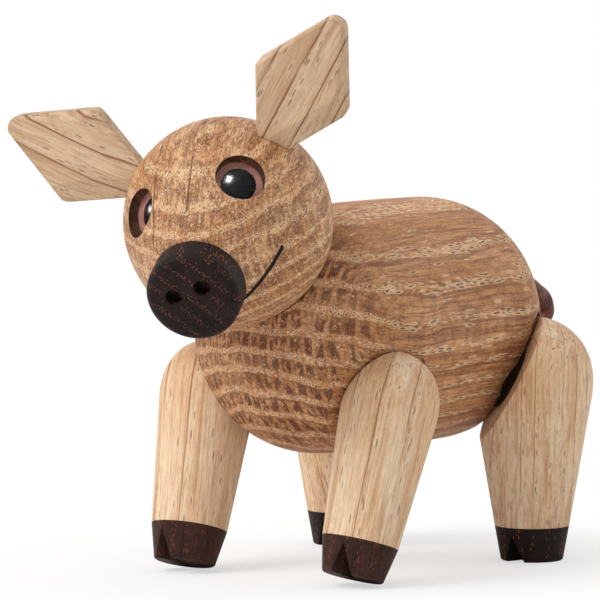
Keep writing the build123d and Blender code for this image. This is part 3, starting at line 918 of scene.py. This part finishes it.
def dome_shape():
    """A slice of a fine sphere, in millimetres, standing on its flat underside."""
    shape = bmesh.new()
    bmesh.ops.create_uvsphere(shape, u_segments=96, v_segments=128, radius=LENS_RADIUS)
    bmesh.ops.bisect_plane(
        shape,
        geom=shape.verts[:] + shape.edges[:] + shape.faces[:],
        plane_co=(0, 0, LENS_RADIUS - LENS_CROWN),
        plane_no=(0, 0, -1),
        clear_outer=True,
    )
    lower = bmesh.ops.extrude_edge_only(shape, edges=open_rim(shape))["geom"]
    foot = [part for part in lower if isinstance(part, bmesh.types.BMVert)]
    bmesh.ops.translate(shape, vec=(0, 0, -LENS_EDGE), verts=foot)
    bmesh.ops.holes_fill(shape, edges=open_rim(shape))
    drop = LENS_EDGE + LENS_CROWN - LENS_RADIUS
    bmesh.ops.translate(shape, vec=(0, 0, drop), verts=shape.verts)
    return shape


lenses = []
for node_name, (side, angle, sideways) in zip(("left_eye_lens", "right_eye_lens"), EYES):
    eye_ray = head_ray(side, angle, sideways)
    foot_height = head_surface(angle) - EYE_HOLE_DEPTH + DISC_THICKNESS + GLUE_GAP
    upright = eye_ray.to_track_quat("Z", "Y").to_matrix().to_4x4()
    moved = Matrix.Translation((HEAD_CENTRE + eye_ray * foot_height) * MM)
    shape = dome_shape()
    bmesh.ops.transform(shape, matrix=moved @ Matrix.Scale(MM, 4) @ upright, verts=shape.verts)
    lens = finished_piece(shape, "polished_" + node_name, LENS_SHARP, glass)
    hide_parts(node_name)
    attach(lens, "head")
    lenses.append(lens)

# %% [markdown]
# ## The path of the tail
#
# The tail is a strip of leather, cut flat, twisted while wet and glued into a blind hole in
# the rump. Its middle line is a straight root and three arcs, as in the solid. A curve with
# a bevel could follow it, but it turns its section by rules of its own. Places worked out
# step by step keep the twist even, with one full turn in every 12.5 mm.

# %% Path of the tail
TAIL_IN_BODY = 7.0
TAIL_STRAIGHT_OUT = 0.8
TAIL_RISE = 4.0
TAIL_LIFT = 8.0
TAIL_ARCS = ((38.0, 24.0), (5.2, 80.0), (12.0, 20.0))
TAIL_STEP = 0.25
TAIL_PITCH = 12.5
TAIL_TWIST_START = 37.0
TAIL_TIP_SIZES = (0.86, 0.96, 1.0)
RUMP_LENGTH = 40.1
RUMP_END_RADIUS = 41.0


def tail_line():
    """Points of the middle line, with the angle and the length so far at each."""
    sag = RUMP_END_RADIUS - math.sqrt(RUMP_END_RADIUS**2 - TAIL_RISE**2)
    mouth = BODY_CENTRE + UP * TAIL_RISE - FORWARD * (RUMP_LENGTH - sag)
    point = mouth - angled(-FORWARD, UP, TAIL_LIFT) * TAIL_IN_BODY
    angle, gone = TAIL_LIFT, 0.0
    runs = [(TAIL_IN_BODY + TAIL_STRAIGHT_OUT, 0.0)]
    runs += [(radius * math.radians(turn), turn) for radius, turn in TAIL_ARCS]
    line = [(point.copy(), angle, gone)]
    for length, turn in runs:
        steps = max(2, round(length / TAIL_STEP))
        for _ in range(steps):
            middle = angled(-FORWARD, UP, angle - turn / steps / 2)
            point = point + middle * (length / steps)
            angle -= turn / steps
            gone += length / steps
            line.append((point.copy(), angle, gone))
    return line


def tail_places():
    """Where the strip's section lies, step by step from its root in the body to its tip."""
    line = tail_line()
    places = []
    for index, (point, angle, gone) in enumerate(line):
        way = angled(-FORWARD, UP, angle)
        wide = turned(LEFT, way, TAIL_TWIST_START + 360 * gone / TAIL_PITCH)
        size = TAIL_TIP_SIZES[min(len(line) - 1 - index, len(TAIL_TIP_SIZES) - 1)]
        axes = Matrix((wide, way.cross(wide), way)).transposed().to_4x4()
        places.append(Matrix.Translation(point) @ axes @ Matrix.Scale(size, 4))
    return places


print("tail length in mm:", round(tail_line()[-1][2], 1), "in steps:", len(tail_line()) - 1)

# %% [markdown]
# ## The leather of the tail
#
# Tanned leather that was dyed brown and waxed. The dye takes unevenly, which gives soft
# darker and lighter patches, and the hide keeps the fine cells of its grain, which a
# Voronoi pattern repeats. Wax gives it a sheen a little brighter than the wood's.

# %% Leather
LEATHER_CELL = 0.45
LEATHER_PATCH = 1.8
LEATHER_GRAIN_DEPTH = 0.08
leather, hide = new_material("waxed_leather")
hide_place = add(hide, "TexCoord").outputs["Object"]
grain_cells = add(hide, "TexVoronoi", {"Vector": hide_place, "Scale": 1 / (LEATHER_CELL * MM)})
dye = {"Vector": hide_place, "Scale": 1 / (LEATHER_PATCH * MM), "Detail": 4.0}
dye_noise = add(hide, "TexNoise", dye)
dyed = add(hide, "MapRange", {0: dye_noise, 1: 0.35, 2: 0.7}, interpolation_type="SMOOTHSTEP")
tones = {0: dyed, 6: colour("4A2016"), 7: colour("7E3E26")}
leather_grain = {
    "Strength": 0.6,
    "Distance": LEATHER_GRAIN_DEPTH * MM,
    "Height": grain_cells.outputs["Distance"],
}
leather_surface = {
    "Base Color": add(hide, "Mix", tones, data_type="RGBA").outputs[2],
    "Roughness": 0.42,
    "Normal": add(hide, "Bump", leather_grain),
}
add(hide, "OutputMaterial", {"Surface": add(hide, "BsdfPrincipled", leather_surface)})
print("leather cells are", LEATHER_CELL, "mm wide")

# %% [markdown]
# ## The twisted strip
#
# The section is a small flat sheet with rounded corners. It is extruded from one place on
# the path to the next and turned as it goes. This gives clean bands of faces that follow
# the twist, where a Simple Deform on a straight strip would have to be bent afterwards.

# %% Build the tail
TAIL_HALF_WIDTH = 1.95
TAIL_HALF_THICKNESS = 1.1
TAIL_EDGE = 0.8
TAIL_SHARP = 50


def tail_shape():
    """A flat section with rounded corners, extruded step by step along the path."""
    shape = bmesh.new()
    bmesh.ops.create_grid(shape, x_segments=1, y_segments=1, size=1)
    halves = (TAIL_HALF_WIDTH, TAIL_HALF_THICKNESS, 1)
    bmesh.ops.scale(shape, vec=halves, verts=shape.verts)
    bmesh.ops.bevel(
        shape,
        geom=shape.verts[:],
        offset=TAIL_EDGE,
        segments=6,
        profile=0.5,
        affect="VERTICES",
        material=-1,
    )
    places = tail_places()
    bmesh.ops.transform(shape, matrix=places[0], verts=shape.verts)
    end = next(iter(shape.faces))
    for before, after in zip(places, places[1:]):
        # The edges go in too, or each step would leave its old end face inside the strip.
        made = bmesh.ops.extrude_face_region(shape, geom=[end, *end.edges])["geom"]
        end = next(part for part in made if isinstance(part, bmesh.types.BMFace))
        bmesh.ops.transform(shape, matrix=after @ before.inverted(), verts=end.verts)
    bmesh.ops.scale(shape, vec=(MM, MM, MM), verts=shape.verts)
    return shape


tail = finished_piece(tail_shape(), "twisted_tail", TAIL_SHARP, leather)
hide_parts("tail")
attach(tail, "trunk")
dress("tail", leather)

# %% [markdown]
# ## The table
#
# The figure stands on a wide sheet of matt white paper that takes its shadows and is lost
# in white a little way off, as on a photographer's table. A real sheet curves up behind the
# object. Here the flat sheet fades to a white glow with the distance, for the eye alone, so
# no bend shows from any side and the light on the pig stays the same.

# %% Table
TABLE_RADIUS = 6.0
FADE_START = 0.035
FADE_END = 0.1
# The share of white that the camera already sees near the pig, which keeps shadows light.
NEAR_SHARE = 0.58

table_shape = bmesh.new()
bmesh.ops.create_circle(table_shape, cap_ends=True, segments=96, radius=TABLE_RADIUS)
table_mesh = bpy.data.meshes.new("table")
table_shape.to_mesh(table_mesh)
table_shape.free()
table = bpy.data.objects.new("table", table_mesh)
bpy.context.scene.collection.objects.link(table)

# Matt paper has no sheen to speak of, so the pig has a shadow there and no mirror image.
paper, sheet = new_material("matt_white_paper")
paper_finish = {"Base Color": colour("F7F7F7"), "Roughness": 0.9, "Specular IOR Level": 0.1}
paper_place = add(sheet, "TexCoord").outputs["Object"]
distance = add(sheet, "VectorMath", (paper_place,), operation="LENGTH").outputs["Value"]
fading = {0: distance, 1: FADE_START, 2: FADE_END, 3: NEAR_SHARE}
far = add(sheet, "MapRange", fading, interpolation_type="SMOOTHSTEP")
seen = add(sheet, "LightPath").outputs["Is Camera Ray"]
fade = add(sheet, "Math", (far, seen), operation="MULTIPLY")
white = add(sheet, "Emission", {"Color": (1, 1, 1, 1), "Strength": 1.0})
blend = add(sheet, "MixShader", {0: fade, 1: add(sheet, "BsdfPrincipled", paper_finish), 2: white})
add(sheet, "OutputMaterial", {"Surface": blend})
table.data.materials.append(paper)
print("table fades to white from", FADE_START / MM, "to", FADE_END / MM, "mm")

# %% [markdown]
# ## The white room
#
# White walls all round fill the shadows. What is seen of the room, directly, through glass
# or in a mirror image, is pure white. The light that it sheds on the pig is weaker, so that
# the lamps can still shape the figure.

# %% Room
ROOM_LIGHT = 0.62
ROOM_SEEN = 1.0
world = bpy.data.worlds.new("white_studio")
world.use_nodes = True
sky = world.node_tree
sky.nodes.clear()
rays = add(sky, "LightPath").outputs
through = (rays["Is Camera Ray"], rays["Is Transmission Ray"])
seen_through = add(sky, "Math", through, operation="MAXIMUM")
looked_at = add(sky, "Math", (seen_through, rays["Is Glossy Ray"]), operation="MAXIMUM")
shed = add(sky, "Background", {"Color": (1, 1, 1, 1), "Strength": ROOM_LIGHT})
shown = add(sky, "Background", {"Color": (1, 1, 1, 1), "Strength": ROOM_SEEN})
add(sky, "OutputWorld", {"Surface": add(sky, "MixShader", {0: looked_at, 1: shed, 2: shown})})
bpy.context.scene.world = world
print("room sheds", ROOM_LIGHT, "and shows", ROOM_SEEN)

# %% [markdown]
# ## The lamps
#
# A broad lamp in front, on the pig's right, models the figure, and a weak one behind it
# lightens the far edge. Suns with a wide angle stand for large soft boxes, because their
# light is as strong on every part. Three small lamps are for the glass eyes alone. They are
# linked to the two domes, where they give the highlights of windows.

# %% Lamps
CAMERA_AZIMUTH = 36.494
LAMP_DISTANCE = 1.0
LAMP_AIM = Vector((0, 0, 0.05))


def from_side(azimuth, elevation):
    """The direction towards a side of the pig: 0 is in front of it, 90 on its left."""
    return angled(turned(FORWARD, UP, azimuth), UP, elevation)


def add_lamp(name, kind, azimuth, elevation, strength, **settings):
    """A lamp that shines on the pig from an azimuth and an elevation, in degrees."""
    lamp = bpy.data.lights.new(name, kind)
    lamp.energy = strength
    for key, value in settings.items():
        setattr(lamp, key, value)
    holder = bpy.data.objects.new(name, lamp)
    towards = from_side(azimuth, elevation)
    holder.rotation_euler = towards.to_track_quat("Z", "Y").to_euler()
    holder.location = LAMP_AIM + towards * LAMP_DISTANCE
    bpy.context.scene.collection.objects.link(holder)
    return holder


add_lamp("key", "SUN", CAMERA_AZIMUTH - 62, 42, 2.0, angle=math.radians(34))
add_lamp("rim", "SUN", CAMERA_AZIMUTH + 130, 35, 0.25, angle=math.radians(40))
eye_group = bpy.data.collections.new("polished_eyes")
for lens in lenses:
    eye_group.objects.link(lens)
for name, azimuth, elevation, width, height, power in (
    ("window_left", CAMERA_AZIMUTH - 40, 47, 0.28, 0.34, 300.0),
    ("window_low", CAMERA_AZIMUTH - 72, 22, 0.2, 0.28, 110.0),
    ("window_right", CAMERA_AZIMUTH + 112, 58, 0.6, 0.3, 150.0),
):
    pane = {"shape": "RECTANGLE", "size": width, "size_y": height}
    window = add_lamp(name, "AREA", azimuth, elevation, power, **pane)
    window.light_linking.receiver_collection = eye_group
print("lamps:", len(bpy.data.lights), "of which for the eyes alone: 3")

# %% [markdown]
# ## The camera
#
# A long lens from a good metre away, a little above the table, as the outlines of the
# photograph ask for. Its focal length was fitted in pixels of a picture 600 pixels wide,
# and its place is measured from the table under the body's middle.

# %% Camera
CAMERA_PITCH = 4.618
CAMERA_PLACE = Vector((691.469, -951.726, 143.162))
FOCAL_PIXELS = 6527.533
PICTURE_PIXELS = 600
SENSOR_WIDTH = 36.0
camera_data = bpy.data.cameras.new("camera")
camera_data.sensor_width = SENSOR_WIDTH
camera_data.lens = FOCAL_PIXELS * SENSOR_WIDTH / PICTURE_PIXELS
camera_data.clip_start = 0.05
camera_data.clip_end = 20.0
camera = bpy.data.objects.new("camera", camera_data)
camera_back = from_side(CAMERA_AZIMUTH, CAMERA_PITCH)
camera_right = UP.cross(camera_back).normalized()
camera_up = camera_back.cross(camera_right)
camera_axes = Matrix((camera_right, camera_up, camera_back)).transposed().to_4x4()
camera_place = CAMERA_PLACE + Vector((BODY_CENTRE.x, BODY_CENTRE.y, 0))
camera.matrix_world = Matrix.Translation(camera_place * MM) @ camera_axes
bpy.context.scene.collection.objects.link(camera)
bpy.context.scene.camera = camera
bpy.context.scene.view_settings.view_transform = "Standard"
print("lens in mm:", round(camera_data.lens, 1))
